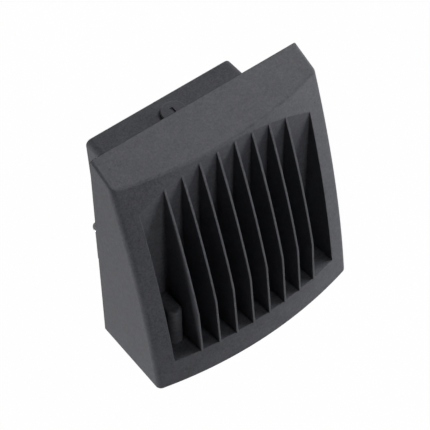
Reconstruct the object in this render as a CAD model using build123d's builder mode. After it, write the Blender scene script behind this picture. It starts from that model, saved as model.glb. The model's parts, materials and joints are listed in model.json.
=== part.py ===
from build123d import *
import os
from math import cos, radians, sin

# Full-cutoff LED wall light. X runs across, the front faces -Y, Z is up.
# The origin lies on the wall face, at the middle of the back box.

# Door casting
door_back_y = -48.0
door_bottom_z = -97.5
door_half_width_top = 95.0
door_half_width_bottom = 96.0
hood_top_z = 117.0
hood_slope_deg = 22.0
shoulder_z = 105.0
shoulder_side_y = -73.8
bottom_side_y = -121.4
profile_bulge = 6.0
bow_top = 9.5
bow_bottom = 12.5
corner_round = 5.0
hood_round = 2.6
bottom_round = 2.0
wall = 3.0
back_overrun = 1.0
loft_shares = (0.0, 0.3, 0.62, 1.0)

# Recess and fins in the door's front
opening_half_width = 79.7
recess_back_y = -85.0
rail_top_z = -70.3
recess_floor_z = -73.0
floor_thickness = 5.0
fin_count = 8
fin_pitch = 16.1
fin_thickness = 1.8
fin_root = 3.0
fin_toe_back = 5.0
fin_top_z = 99.4
fin_top_drop = 7.8
fin_bend_y = -125.6
fin_bend_z = -15.7
fin_bend_back = 2.9
fin_bend_drop = 10.9
fin_foot_y = -131.1
fin_foot_back = 4.3
fin_bulge = 2.4

# Pillar in the lower left of the recess
pillar_x = 65.5
pillar_y = -102.1
pillar_radius = 6.5
pillar_top_z = -31.0
pillar_round = 3.0

# Captive screw in the lower right of the recess
screw_x = 71.5
screw_z = -52.0
tunnel_radius = 7.0
tunnel_seat_y = -70.0
tunnel_overrun = 1.0
screw_radius = 2.5
screw_head_radius = 4.4
screw_head_height = 5.0
screw_clearance = 0.5
screw_travel = 10.0
screw_reach = 10.0
socket_across = 4.0
hex_sides = 6
socket_depth = 2.6
screw_tube_radius = 9.5
retainer_radius = 4.6
retainer_thickness = 1.2
retainer_bore_radius = 5.4
retainer_gap = 1.0

# Back box
box_half_height = 75.0
box_half_width_top = 68.6
box_half_width_bottom = 63.6
box_depth = 46.0
box_draft_deg = 1.2
box_wall = 3.5
box_corner = 5.0
rim_round = 1.0
lug_radius = 6.5
lug_length = 16.0
lug_hole_depth = 12.0

# Seals
seal_rim = 4.6
seal_gap = 0.2
wall_pad_thickness = 2.0
wall_pad_margin = 4.0
wall_pad_fit = 0.2

# Wall fixing and wiring
fixing_spacing = 88.9
fixing_count = 4
fixing_hole_radius = 2.6
wire_opening_radius = 22.0

# Conduit entries and plugs
conduit_radius = 8.0
conduit_from_wall = 19.7
hub_radius = 11.4
hub_rise = 1.2
hub_depth = 11.0
plug_head_radius = 10.2
plug_head_height = 2.4
plug_head_round = 0.8
plug_length = 9.0
plug_fit = 0.05
plug_slot_length = 7.2
plug_slot_width = 2.4
plug_slot_depth = 1.4
ring_margin = 0.3
ring_height = 0.8

# Hinge
hinge_inset = 11.1
hinge_y = -36.7
hinge_half_height = 19.3
hinge_lug_height = 10.0
hinge_radius = 4.6
hinge_gap = 0.4
pin_radius = 2.0
pin_head_radius = 6.2
pin_head_height = 1.2
pin_running = 0.06
pin_press = 0.02
hinge_arm = 7.0
hinge_web_depth = 16.0
hinge_web_half = 4.6

# Lens stack under the door
pocket_inset = 3.0
chamber_inset = 12.0
lens_inset = 8.3
lens_fit = 0.3
pocket_depth = 6.5
frame_lift = 0.5
frame_thickness = 2.0
lens_thickness = 3.0
frame_screw_inset = 5.6
frame_screw_radius = 1.5
frame_screw_head = 2.8
frame_screw_length = 9.0
frame_screw_x = 60.0
countersink_deg = 45.0

# Light engine
pad_thickness = 0.5
board_length = 124.0
board_width = 40.0
board_thickness = 1.6
board_y = -92.0
led_size = 5.0
led_height = 1.0
led_columns = 8
led_rows = 2
led_pitch_x = 14.0
led_pitch_y = 16.0
optic_length = 106.0
optic_width = 30.0
optic_corner = 4.0
optic_thickness = 3.0
optic_pocket_gap = 0.3
optic_dome_radius = 5.6
optic_dome_height = 2.4
optic_taper_deg = 30.0
board_screw_radius = 1.5
board_screw_head = 2.7
board_screw_head_height = 1.8
board_screw_x = 58.0
board_screw_y = 16.0
board_screw_length = 5.5
thread_fit = 0.02

# Driver and wiring
driver_length = 92.0
driver_height = 46.0
driver_depth = 22.0
driver_z = 30.0
driver_ear = 9.0
driver_ear_thickness = 2.5
driver_round = 3.0
driver_screw_radius = 1.75
driver_screw_head = 3.4
driver_screw_head_height = 2.2
driver_screw_length = 4.5
driver_boss_radius = 4.5
driver_boss_height = 3.0
wire_radius = 1.1
grommet_radius = 5.0
grommet_flange = 7.0
grommet_flange_height = 1.5
grommet_y = -66.0
lead_spacing = 3.2
lead_bend = 2.5
lead_landing = 4.0
connector_length = 18.0
connector_width = 11.0
connector_height = 9.0
connector_z = -44.0
lead_y = -74.0
lead_drop = 12.0
lead_knee_drop = 36.0
lead_end_margin = 8.0
lead_pair_gap = 16.0
ground_x = 30.0
ground_z = -55.0
ground_screw_radius = 2.0
ground_head_radius = 4.0
ground_head_height = 2.4
ground_screw_length = 7.0
ground_boss_radius = 5.0
ground_boss_height = 6.0

os.makedirs("parts", exist_ok=True)
sides = (-1, 1)
door_height = shoulder_z - door_bottom_z
hood_normal = (0, -sin(radians(hood_slope_deg)), cos(radians(hood_slope_deg)))
box_front_y = -box_depth
cut_height = 2 * (hood_top_z - door_bottom_z)
hinge_x = hinge_inset - door_half_width_top
web_start_x = wall / 2 - door_half_width_top
lead_end_x = driver_length / 2 - lead_end_margin
supply_leads = {
    "line_lead": -lead_end_x,
    "neutral_lead": lead_pair_gap - lead_end_x,
    "ground_lead": lead_end_x - lead_pair_gap,
}
chamber_top_z = recess_floor_z - floor_thickness
knuckle_half_height = hinge_half_height - hinge_lug_height - hinge_gap
retainer_bore_depth = screw_travel + retainer_thickness + 2 * retainer_gap
box_back = box_wall + wall_pad_thickness
inner_floor_z = -box_half_height + seal_rim
driver_seat_y = recess_back_y + wall
frame_bottom_z = door_bottom_z + frame_lift
frame_step = lens_inset - lens_fit
board_bottom_z = chamber_top_z - pad_thickness - board_thickness
board_back_y = board_y + board_width / 2
driver_bottom_z = driver_z - driver_height / 2
driver_ear_y = driver_seat_y + driver_boss_height
ledge_z = door_bottom_z + pocket_depth
fin_outer_x = (fin_count - 1) / 2 * fin_pitch
fin_positions = [(i - (fin_count - 1) / 2) * fin_pitch for i in range(fin_count)]


def door_drop(z):
    """Share of the way down the front from the shoulder to the bottom edge."""
    return (shoulder_z - z) / door_height


def door_side_y(z):
    """Front face of the door at its sides: a shallow convex curve."""
    t = door_drop(z)
    return shoulder_side_y + (bottom_side_y - shoulder_side_y) * t - 4 * profile_bulge * t * (1 - t)


def door_bow(z):
    """How far the middle of the front stands before its sides."""
    return bow_top + (bow_bottom - bow_top) * door_drop(z)


def door_half_width(z):
    """Half the door's width, drafted from the hood to the bottom edge."""
    share = (hood_top_z - z) / (hood_top_z - door_bottom_z)
    return door_half_width_top + (door_half_width_bottom - door_half_width_top) * share


def door_levels(low):
    """Heights of the plans that the door is lofted through, from a lowest one to the hood."""
    return [low + (hood_top_z - low) * share for share in loft_shares]


def door_outline(z, inset, back_inset, round_radius):
    """Plan of the door at a height, drawn in from its edges by an inset."""
    half = door_half_width(z) - inset
    back = door_back_y - back_inset
    side = door_side_y(z) + inset
    with BuildSketch(Plane.XY, mode=Mode.PRIVATE) as plan:
        with BuildLine():
            Polyline((-half, side), (-half, back), (half, back), (half, side))
            ThreePointArc((-half, side), (0, side - door_bow(z)), (half, side))
        make_face()
        fillet(plan.vertices().sort_by(Axis.Y)[:2], radius=round_radius)
    return plan.sketch_local


def box_outline(margin):
    """Tapered outline of the back box, drawn in by a margin."""
    low = -box_half_height + margin
    high = box_half_height - margin
    top = box_half_width_top - margin
    bottom = box_half_width_bottom - margin
    with BuildSketch(Plane.XY, mode=Mode.PRIVATE) as outline:
        Polygon((-bottom, low), (bottom, low), (top, high), (-top, high), align=None)
        fillet(outline.vertices(), radius=box_corner)
    return outline.sketch_local


def box_side_x(z):
    """Half the box's width at a height, on the wall face."""
    share = (z + box_half_height) / (2 * box_half_height)
    return box_half_width_bottom + (box_half_width_top - box_half_width_bottom) * share


def door_front_y(x, z):
    """Front face of the door at a place across its width."""
    return door_side_y(z) - door_bow(z) * (1 - (x / door_half_width(z)) ** 2)


conduit_seats = {
    "top": Plane((0, -conduit_from_wall, box_half_height + hub_rise), x_dir=(1, 0, 0), z_dir=(0, 0, 1)),
    "left": Plane((-box_side_x(0) - hub_rise, -conduit_from_wall, 0), x_dir=(0, 0, 1), z_dir=(-1, 0, 0)),
    "right": Plane((box_side_x(0) + hub_rise, -conduit_from_wall, 0), x_dir=(0, 0, 1), z_dir=(1, 0, 0)),
}
frame_side_x = door_half_width(door_bottom_z) - frame_screw_inset
frame_front_y = door_front_y(frame_screw_x, door_bottom_z) + frame_screw_inset
frame_back_y = door_back_y - frame_screw_inset
frame_screw_spots = [
    spot
    for side in sides
    for spot in (
        (side * frame_screw_x, frame_front_y),
        (side * frame_screw_x, frame_back_y),
        (side * frame_side_x, board_y),
    )
]
board_screw_spots = [(sx * board_screw_x, board_y + sy * board_screw_y) for sx in sides for sy in sides]
driver_screw_x = (driver_length + driver_ear) / 2
driver_screw_spots = [(side * driver_screw_x, driver_z) for side in sides]


def finish(builder, name):
    """Label a finished piece and write it."""
    builder.part.label = name
    export_step(builder.part, f"parts/{name}.step")


front_plane = Plane(origin=(0, 0, 0), x_dir=(1, 0, 0), z_dir=(0, -1, 0))


def plane_at(y):
    """Upright plane facing the front at a distance from the wall; local x is X, local y is Z."""
    return front_plane.offset(-y)


# Space inside the door, behind its skin and behind the recess
with BuildPart() as door_cavity:
    for level in door_levels(recess_floor_z):
        with BuildSketch(Plane.XY.offset(level)):
            add(door_outline(level, wall, -back_overrun, corner_round - wall / 2))
    loft()
    hood_inside = Plane(origin=(0, door_back_y, hood_top_z - wall), z_dir=hood_normal)
    split(bisect_by=hood_inside, keep=Keep.BOTTOM)
    with BuildSketch(plane_at(recess_back_y + wall)):
        Rectangle(2 * (opening_half_width + wall), cut_height)
    extrude(amount=-bottom_side_y, mode=Mode.SUBTRACT)

# Round-topped pillar that stands in the recess against its back wall
with BuildPart() as pillar:
    with BuildSketch(Plane.XY.offset(recess_floor_z - wall / 2)):
        with Locations((-pillar_x, pillar_y)):
            Circle(pillar_radius)
            Rectangle(
                2 * pillar_radius, recess_back_y + wall / 2 - pillar_y, align=(Align.CENTER, Align.MIN)
            )
    extrude(amount=pillar_top_z - recess_floor_z + wall / 2)
    pillar_top = pillar.faces().sort_by(Axis.Z)[-1]
    pillar_edges = pillar_top.edges().sort_by(Axis.Y)[:-1]
    fillet(pillar_edges, radius=pillar_round)

# Door: one casting with hood, frame, recess, fins, pillar, seal wall and hinge knuckle
with BuildPart() as door_housing:
    for level in door_levels(door_bottom_z):
        with BuildSketch(Plane.XY.offset(level)):
            add(door_outline(level, 0, 0, corner_round))
    loft()
    hood_outside = Plane(origin=(0, door_back_y, hood_top_z), z_dir=hood_normal)
    split(bisect_by=hood_outside, keep=Keep.BOTTOM)
    hood_face = door_housing.faces().sort_by(Axis.Z)[-1]
    hood_edges = hood_face.edges().sort_by(Axis.Y)[:-1]
    fillet(hood_edges, radius=hood_round)
    bottom_face = door_housing.faces().sort_by(Axis.Z)[0]
    bottom_edges = bottom_face.edges().sort_by(Axis.Y)[:-1]
    fillet(bottom_edges, radius=bottom_round)
    with BuildSketch(plane_at(recess_back_y)):
        with Locations((0, rail_top_z)):
            Rectangle(2 * opening_half_width, cut_height, align=(Align.CENTER, Align.MIN))
    extrude(amount=-bottom_side_y, mode=Mode.SUBTRACT)
    with BuildSketch(Plane.YZ):
        with BuildLine():
            Polyline(
                (bottom_side_y, rail_top_z),
                (recess_back_y, rail_top_z),
                (recess_back_y, recess_floor_z),
                close=True,
            )
        make_face()
    extrude(amount=opening_half_width, both=True, mode=Mode.SUBTRACT)
    add(door_cavity.part, mode=Mode.SUBTRACT)
    for x in fin_positions:
        q = (x / fin_outer_x) ** 2
        crest = (recess_back_y, fin_top_z - fin_top_drop * q)
        bend = (fin_bend_y + fin_bend_back * q, fin_bend_z - fin_bend_drop * q)
        foot = (fin_foot_y + fin_foot_back * q, rail_top_z)
        belly = ((crest[0] + bend[0]) / 2 - fin_bulge, (crest[1] + bend[1]) / 2)
        toe = (foot[0] + fin_toe_back, recess_floor_z - fin_root / 2)
        heel = (recess_back_y + fin_root / 2, recess_floor_z - fin_root / 2)
        with BuildSketch(Plane.YZ.offset(x)):
            with BuildLine():
                ThreePointArc(crest, belly, bend)
                Polyline(bend, foot, toe, heel, (heel[0], crest[1]), crest)
            make_face()
        extrude(amount=fin_thickness / 2, both=True)
    add(pillar.part)
    with BuildSketch(plane_at(door_back_y)):
        add(box_outline(0))
        offset(amount=-seal_rim, mode=Mode.SUBTRACT)
    extrude(amount=door_back_y - recess_back_y - wall / 2)
    with BuildSketch(plane_at(door_back_y)):
        with Locations((screw_x, screw_z)):
            Circle(screw_tube_radius)
    extrude(amount=door_back_y - recess_back_y - wall / 2)
    with BuildSketch(plane_at(recess_back_y + wall)):
        with Locations(*driver_screw_spots):
            Circle(driver_boss_radius)
    extrude(amount=-driver_boss_height)
    with BuildSketch(Plane.XY):
        with Locations((hinge_x, hinge_y)):
            Circle(hinge_radius)
            Rectangle(2 * hinge_web_half, hinge_y - door_back_y, align=(Align.CENTER, Align.MAX))
        with Locations((web_start_x, door_back_y)):
            Rectangle(hinge_x + hinge_web_half - web_start_x, hinge_web_depth, align=(Align.MIN, Align.MAX))
    extrude(amount=knuckle_half_height, both=True)
    with BuildSketch(Plane.XY):
        with Locations((hinge_x, hinge_y)):
            Circle(pin_radius + pin_running)
    extrude(amount=hinge_half_height, both=True, mode=Mode.SUBTRACT)
    with BuildSketch(plane_at(tunnel_seat_y)):
        with Locations((screw_x, screw_z)):
            Circle(tunnel_radius)
    extrude(amount=tunnel_seat_y - recess_back_y + tunnel_overrun, mode=Mode.SUBTRACT)
    with BuildSketch(plane_at(door_back_y)):
        with Locations((screw_x, screw_z)):
            Circle(screw_radius + screw_clearance)
    extrude(amount=door_back_y - tunnel_seat_y, mode=Mode.SUBTRACT)
    with BuildSketch(plane_at(door_back_y)):
        with Locations((screw_x, screw_z)):
            Circle(retainer_bore_radius)
    extrude(amount=retainer_bore_depth, mode=Mode.SUBTRACT)
    with BuildSketch(Plane.XY.offset(door_bottom_z)):
        add(door_outline(door_bottom_z, pocket_inset, pocket_inset, corner_round))
    extrude(amount=pocket_depth, mode=Mode.SUBTRACT)
    with BuildSketch(Plane.XY.offset(door_bottom_z)):
        add(door_outline(door_bottom_z, chamber_inset, chamber_inset, corner_round))
    extrude(amount=chamber_top_z - door_bottom_z, mode=Mode.SUBTRACT)
    with BuildSketch(Plane.XY.offset(ledge_z)):
        with Locations(*frame_screw_spots):
            Circle(frame_screw_radius + thread_fit)
    extrude(amount=frame_screw_length - pocket_depth + frame_lift + thread_fit, mode=Mode.SUBTRACT)
    with BuildSketch(Plane.XY.offset(chamber_top_z)):
        with Locations(*board_screw_spots):
            Circle(board_screw_radius + thread_fit)
    extrude(amount=board_screw_length - board_thickness - pad_thickness + thread_fit, mode=Mode.SUBTRACT)
    with BuildSketch(Plane.XY.offset(chamber_top_z)):
        with Locations((0, grommet_y)):
            Circle(grommet_radius)
    extrude(amount=inner_floor_z - chamber_top_z, mode=Mode.SUBTRACT)
    with BuildSketch(plane_at(driver_seat_y + driver_boss_height)):
        with Locations(*driver_screw_spots):
            Circle(driver_screw_radius + thread_fit)
    extrude(amount=driver_screw_length - driver_ear_thickness + thread_fit, mode=Mode.SUBTRACT)
finish(door_housing, "door_housing")

# Back box: tapered tray with conduit hubs, hinge lugs, screw lug and wall fixing holes
with BuildPart() as back_box:
    with BuildSketch(plane_at(0)):
        add(box_outline(0))
    extrude(amount=box_depth, taper=-box_draft_deg)
    with BuildSketch(plane_at(-box_back)):
        add(box_outline(box_wall))
    extrude(amount=box_depth, taper=-box_draft_deg, mode=Mode.SUBTRACT)
    with BuildSketch(plane_at(0)):
        add(box_outline(wall_pad_margin))
    extrude(amount=wall_pad_thickness, mode=Mode.SUBTRACT)
    for seat in conduit_seats.values():
        with BuildSketch(seat):
            Circle(hub_radius)
        extrude(amount=-hub_depth)
        with BuildSketch(seat):
            Circle(conduit_radius)
        extrude(amount=-2 * hub_depth, mode=Mode.SUBTRACT)
    with BuildSketch(plane_at(-wall_pad_thickness)):
        with Locations((ground_x, ground_z)):
            Circle(ground_boss_radius)
    extrude(amount=box_back - wall_pad_thickness + ground_boss_height)
    with BuildSketch(plane_at(-box_back - ground_boss_height)):
        with Locations((ground_x, ground_z)):
            Circle(ground_screw_radius + thread_fit)
    extrude(amount=-ground_screw_length - thread_fit, mode=Mode.SUBTRACT)
    with BuildSketch(plane_at(-wall_pad_thickness)):
        Circle(wire_opening_radius)
        with PolarLocations(fixing_spacing / 2, fixing_count):
            Circle(fixing_hole_radius)
    extrude(amount=box_back, mode=Mode.SUBTRACT)
    with BuildSketch(plane_at(box_front_y)):
        with Locations((screw_x, screw_z)):
            Circle(lug_radius)
            Rectangle(
                screw_x - box_side_x(screw_z) + box_wall / 2, 2 * lug_radius, align=(Align.MAX, Align.CENTER)
            )
    extrude(amount=-lug_length)
    with BuildSketch(plane_at(box_front_y)):
        with Locations((screw_x, screw_z)):
            Circle(screw_radius + screw_clearance)
    extrude(amount=-lug_hole_depth, mode=Mode.SUBTRACT)
    for side in sides:
        lug_end = side * hinge_half_height
        with BuildSketch(Plane.XY.offset(min(lug_end, lug_end - side * hinge_lug_height))):
            with Locations((hinge_x, hinge_y)):
                Circle(hinge_radius)
                Rectangle(
                    -box_side_x(0) + box_wall / 2 - hinge_x, hinge_arm, align=(Align.MIN, Align.CENTER)
                )
        extrude(amount=hinge_lug_height)
    with BuildSketch(Plane.XY):
        with Locations((hinge_x, hinge_y)):
            Circle(pin_radius + pin_press)
    extrude(amount=hinge_half_height, both=True, mode=Mode.SUBTRACT)
    back_edges = back_box.faces().sort_by(Axis.Y)[-1].outer_wire().edges()
    fillet(back_edges, radius=rim_round)
finish(back_box, "back_box")

# Pad between the back box and the wall
with BuildPart() as wall_pad:
    with BuildSketch(plane_at(0)):
        add(box_outline(wall_pad_margin + wall_pad_fit))
        Circle(wire_opening_radius, mode=Mode.SUBTRACT)
        with PolarLocations(fixing_spacing / 2, fixing_count):
            Circle(fixing_hole_radius, mode=Mode.SUBTRACT)
    extrude(amount=wall_pad_thickness)
finish(wall_pad, "wall_pad")

# Slotted plugs and their sealing rings in the three conduit entries
for name, seat in conduit_seats.items():
    with BuildPart() as ring:
        with BuildSketch(seat):
            Circle(plug_head_radius - ring_margin)
            Circle(conduit_radius, mode=Mode.SUBTRACT)
        extrude(amount=ring_height)
    finish(ring, f"{name}_plug_ring")
    with BuildPart() as plug:
        with BuildSketch(seat.offset(ring_height)):
            Circle(plug_head_radius)
        extrude(amount=plug_head_height)
        fillet(plug.faces().sort_by(Axis(seat.origin, seat.z_dir))[-1].edges(), radius=plug_head_round)
        with BuildSketch(seat.offset(ring_height)):
            Circle(conduit_radius - plug_fit)
        extrude(amount=-plug_length)
        with BuildSketch(seat.offset(ring_height + plug_head_height)):
            Rectangle(plug_slot_width, plug_slot_length)
        extrude(amount=-plug_slot_depth, mode=Mode.SUBTRACT)
    finish(plug, f"{name}_conduit_plug")

# Hinge pin, driven down through the lugs
with BuildPart() as hinge_pin:
    with BuildSketch(Plane.XY.offset(-hinge_half_height)):
        with Locations((hinge_x, hinge_y)):
            Circle(pin_radius)
    extrude(amount=2 * hinge_half_height)
    with BuildSketch(Plane.XY.offset(hinge_half_height)):
        with Locations((hinge_x, hinge_y)):
            Circle(pin_head_radius)
    extrude(amount=pin_head_height)
    fillet(hinge_pin.faces().sort_by(Axis.Z)[-1].edges(), radius=pin_head_height / 2)
finish(hinge_pin, "hinge_pin")

# Seal carried by the door, pressed on the rim of the back box
with BuildPart() as door_seal:
    with BuildSketch(plane_at(door_back_y)):
        add(box_outline(0))
        offset(amount=-seal_rim, mode=Mode.SUBTRACT)
    extrude(amount=door_back_y - box_front_y + seal_gap)
finish(door_seal, "door_seal")

# Captive screw with a hexagon socket, and the ring that keeps it in the door
with BuildPart() as captive_screw:
    with BuildSketch(plane_at(tunnel_seat_y)):
        with Locations((screw_x, screw_z)):
            Circle(screw_head_radius)
    extrude(amount=screw_head_height)
    fillet(captive_screw.faces().sort_by(Axis.Y)[0].edges(), radius=plug_head_round)
    with BuildSketch(plane_at(tunnel_seat_y - screw_head_height)):
        with Locations((screw_x, screw_z)):
            RegularPolygon(socket_across / 2, hex_sides, major_radius=False)
    extrude(amount=-socket_depth, mode=Mode.SUBTRACT)
    with BuildSketch(plane_at(tunnel_seat_y)):
        with Locations((screw_x, screw_z)):
            Circle(screw_radius)
    extrude(amount=tunnel_seat_y - door_back_y - screw_reach)
finish(captive_screw, "captive_screw")

with BuildPart() as screw_retainer:
    with BuildSketch(plane_at(door_back_y - retainer_gap)):
        with Locations((screw_x, screw_z)):
            Circle(retainer_radius)
            Circle(screw_radius, mode=Mode.SUBTRACT)
    extrude(amount=retainer_thickness)
finish(screw_retainer, "screw_retainer")

# Lens frame: outer rim that takes the screws, and a flange that carries the lens
with BuildPart() as lens_frame:
    with BuildSketch(Plane.XY.offset(frame_bottom_z)):
        add(door_outline(door_bottom_z, pocket_inset + lens_fit, pocket_inset + lens_fit, corner_round))
        add(door_outline(door_bottom_z, frame_step, frame_step, corner_round), mode=Mode.SUBTRACT)
    extrude(amount=ledge_z - frame_bottom_z)
    with BuildSketch(Plane.XY.offset(frame_bottom_z)):
        add(door_outline(door_bottom_z, pocket_inset + lens_fit, pocket_inset + lens_fit, corner_round))
        add(door_outline(door_bottom_z, chamber_inset, chamber_inset, corner_round), mode=Mode.SUBTRACT)
    extrude(amount=frame_thickness)
    with Locations(Plane.XY.offset(frame_bottom_z)):
        with Locations(*[Location((x, y, 0), (180, 0, 0)) for x, y in frame_screw_spots]):
            CounterSinkHole(frame_screw_radius + screw_clearance, frame_screw_head)
finish(lens_frame, "lens_frame")

with BuildPart() as lens:
    with BuildSketch(Plane.XY.offset(frame_bottom_z + frame_thickness)):
        add(door_outline(door_bottom_z, lens_inset, lens_inset, corner_round))
    extrude(amount=lens_thickness)
finish(lens, "lens")

with BuildPart() as lens_seal:
    with BuildSketch(Plane.XY.offset(frame_bottom_z + frame_thickness + lens_thickness)):
        add(door_outline(door_bottom_z, lens_inset, lens_inset, corner_round))
        add(door_outline(door_bottom_z, chamber_inset, chamber_inset, corner_round), mode=Mode.SUBTRACT)
    extrude(amount=ledge_z - frame_bottom_z - frame_thickness - lens_thickness)
finish(lens_seal, "lens_seal")

with BuildPart() as frame_screws:
    with BuildSketch(Plane.XY.offset(frame_bottom_z)):
        with Locations(*frame_screw_spots):
            Circle(frame_screw_radius)
    extrude(amount=frame_screw_length)
    with BuildSketch(Plane.XY.offset(frame_bottom_z)):
        with Locations(*frame_screw_spots):
            Circle(frame_screw_head - screw_clearance)
    extrude(amount=frame_screw_head - screw_clearance - frame_screw_radius, taper=countersink_deg)
finish(frame_screws, "frame_screws")

# Light engine on the underside of the recess floor
with BuildPart() as thermal_pad:
    with BuildSketch(Plane.XY.offset(chamber_top_z - pad_thickness)):
        with Locations((0, board_y)):
            Rectangle(board_length, board_width)
        with Locations(*board_screw_spots):
            Circle(board_screw_radius + screw_clearance, mode=Mode.SUBTRACT)
    extrude(amount=pad_thickness)
finish(thermal_pad, "thermal_pad")

with BuildPart() as led_board:
    with BuildSketch(Plane.XY.offset(board_bottom_z)):
        with Locations((0, board_y)):
            Rectangle(board_length, board_width)
        with Locations(*board_screw_spots):
            Circle(board_screw_radius + screw_clearance, mode=Mode.SUBTRACT)
    extrude(amount=board_thickness)
finish(led_board, "led_board")

with BuildPart() as led_chips:
    with BuildSketch(Plane.XY.offset(board_bottom_z - led_height)):
        with Locations((0, board_y)):
            with GridLocations(led_pitch_x, led_pitch_y, led_columns, led_rows):
                Rectangle(led_size, led_size)
    extrude(amount=led_height)
finish(led_chips, "led_chips")

with BuildPart() as led_optics:
    with BuildSketch(Plane.XY.offset(board_bottom_z - optic_thickness)):
        with Locations((0, board_y)):
            RectangleRounded(optic_length, optic_width, optic_corner)
    extrude(amount=optic_thickness)
    with BuildSketch(Plane.XY.offset(board_bottom_z)):
        with Locations((0, board_y)):
            with GridLocations(led_pitch_x, led_pitch_y, led_columns, led_rows):
                Rectangle(led_size + 2 * optic_pocket_gap, led_size + 2 * optic_pocket_gap)
    extrude(amount=-led_height - optic_pocket_gap, mode=Mode.SUBTRACT)
    with BuildSketch(Plane.XY.offset(board_bottom_z - optic_thickness)):
        with Locations((0, board_y)):
            with GridLocations(led_pitch_x, led_pitch_y, led_columns, led_rows):
                Circle(optic_dome_radius)
    extrude(amount=-optic_dome_height, taper=optic_taper_deg)
finish(led_optics, "led_optics")

with BuildPart() as board_screws:
    with BuildSketch(Plane.XY.offset(board_bottom_z)):
        with Locations(*board_screw_spots):
            Circle(board_screw_head)
    extrude(amount=-board_screw_head_height)
    with BuildSketch(Plane.XY.offset(board_bottom_z)):
        with Locations(*board_screw_spots):
            Circle(board_screw_radius)
    extrude(amount=board_screw_length)
finish(board_screws, "board_screws")

# Driver and its fixing screws on the back of the recess wall
with BuildPart() as driver:
    with BuildSketch(plane_at(driver_seat_y)):
        with Locations((0, driver_z)):
            RectangleRounded(driver_length, driver_height, driver_round)
    extrude(amount=-driver_depth)
    fillet(driver.faces().sort_by(Axis.Y)[-1].edges(), radius=driver_round / 2)
    with BuildSketch(plane_at(driver_ear_y)):
        with Locations((0, driver_z)):
            SlotOverall(driver_length + 2 * driver_ear, 2 * driver_boss_radius)
        with Locations(*driver_screw_spots):
            Circle(driver_screw_radius + screw_clearance, mode=Mode.SUBTRACT)
    extrude(amount=-driver_ear_thickness)
finish(driver, "driver")

with BuildPart() as driver_screws:
    with BuildSketch(plane_at(driver_ear_y + driver_ear_thickness)):
        with Locations(*driver_screw_spots):
            Circle(driver_screw_head)
    extrude(amount=-driver_screw_head_height)
    with BuildSketch(plane_at(driver_ear_y + driver_ear_thickness)):
        with Locations(*driver_screw_spots):
            Circle(driver_screw_radius)
    extrude(amount=driver_screw_length)
finish(driver_screws, "driver_screws")

# Grommet in the recess floor, and the pair of leads that passes through it
with BuildPart() as lead_grommet:
    with BuildSketch(Plane.XY.offset(chamber_top_z)):
        with Locations((0, grommet_y)):
            Circle(grommet_radius)
    extrude(amount=inner_floor_z - chamber_top_z)
    with BuildSketch(Plane.XY.offset(inner_floor_z)):
        with Locations((0, grommet_y)):
            Circle(grommet_flange)
    extrude(amount=grommet_flange_height)
    with BuildSketch(Plane.XY.offset(chamber_top_z)):
        with Locations((0, grommet_y)):
            SlotCenterToCenter(lead_spacing, 2 * (wire_radius + thread_fit))
    extrude(amount=inner_floor_z - chamber_top_z + grommet_flange_height, mode=Mode.SUBTRACT)
finish(lead_grommet, "lead_grommet")

with BuildPart() as led_leads:
    for side in sides:
        lead_x = side * lead_spacing / 2
        landing_z = board_bottom_z - wire_radius
        with BuildLine() as route:
            FilletPolyline(
                (lead_x, lead_y, driver_bottom_z),
                (lead_x, lead_y, driver_bottom_z - lead_drop),
                (lead_x, grommet_y, driver_bottom_z - lead_knee_drop),
                (lead_x, grommet_y, landing_z),
                (lead_x, board_back_y - lead_landing, landing_z),
                radius=lead_bend,
            )
        with BuildSketch(Plane((lead_x, lead_y, driver_bottom_z), z_dir=(0, 0, -1))):
            Circle(wire_radius)
        sweep(path=route.line)
finish(led_leads, "led_leads")

# Supply leads, each ending in a push-in connector
for name, x in supply_leads.items():
    with BuildPart() as lead:
        with BuildSketch(Plane((x, lead_y, driver_bottom_z), z_dir=(0, 0, -1))):
            Circle(wire_radius)
        extrude(amount=driver_bottom_z - connector_z - connector_height)
    finish(lead, name)

with BuildPart() as push_in_connectors:
    with BuildSketch(plane_at(driver_seat_y)):
        with Locations(*[(x, connector_z) for x in supply_leads.values()]):
            RectangleRounded(connector_width, 2 * connector_height, plug_head_round)
    extrude(amount=-connector_length)
finish(push_in_connectors, "push_in_connectors")

with BuildPart() as ground_screw:
    with BuildSketch(plane_at(-box_back - ground_boss_height)):
        with Locations((ground_x, ground_z)):
            RegularPolygon(ground_head_radius, hex_sides)
    extrude(amount=ground_head_height)
    with BuildSketch(plane_at(-box_back - ground_boss_height)):
        with Locations((ground_x, ground_z)):
            Circle(ground_screw_radius)
    extrude(amount=-ground_screw_length)
finish(ground_screw, "ground_screw")
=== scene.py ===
"""Finishes, fine detail and studio for a finned cast wall light.

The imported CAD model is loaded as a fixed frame. Each CAD node takes the finish of its slot, and each sub-assembly of
the light is a class that adds the pieces too fine for the solids. Lengths are metres: X to the right, Y into the wall,
Z up.
"""

import json
import logging
import math
from abc import ABC, abstractmethod
from collections.abc import Callable
from dataclasses import dataclass
from enum import Enum
from typing import Any

import bpy
import numpy as np
from mathutils import Matrix, Vector
from mathutils.geometry import tessellate_polygon


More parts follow.
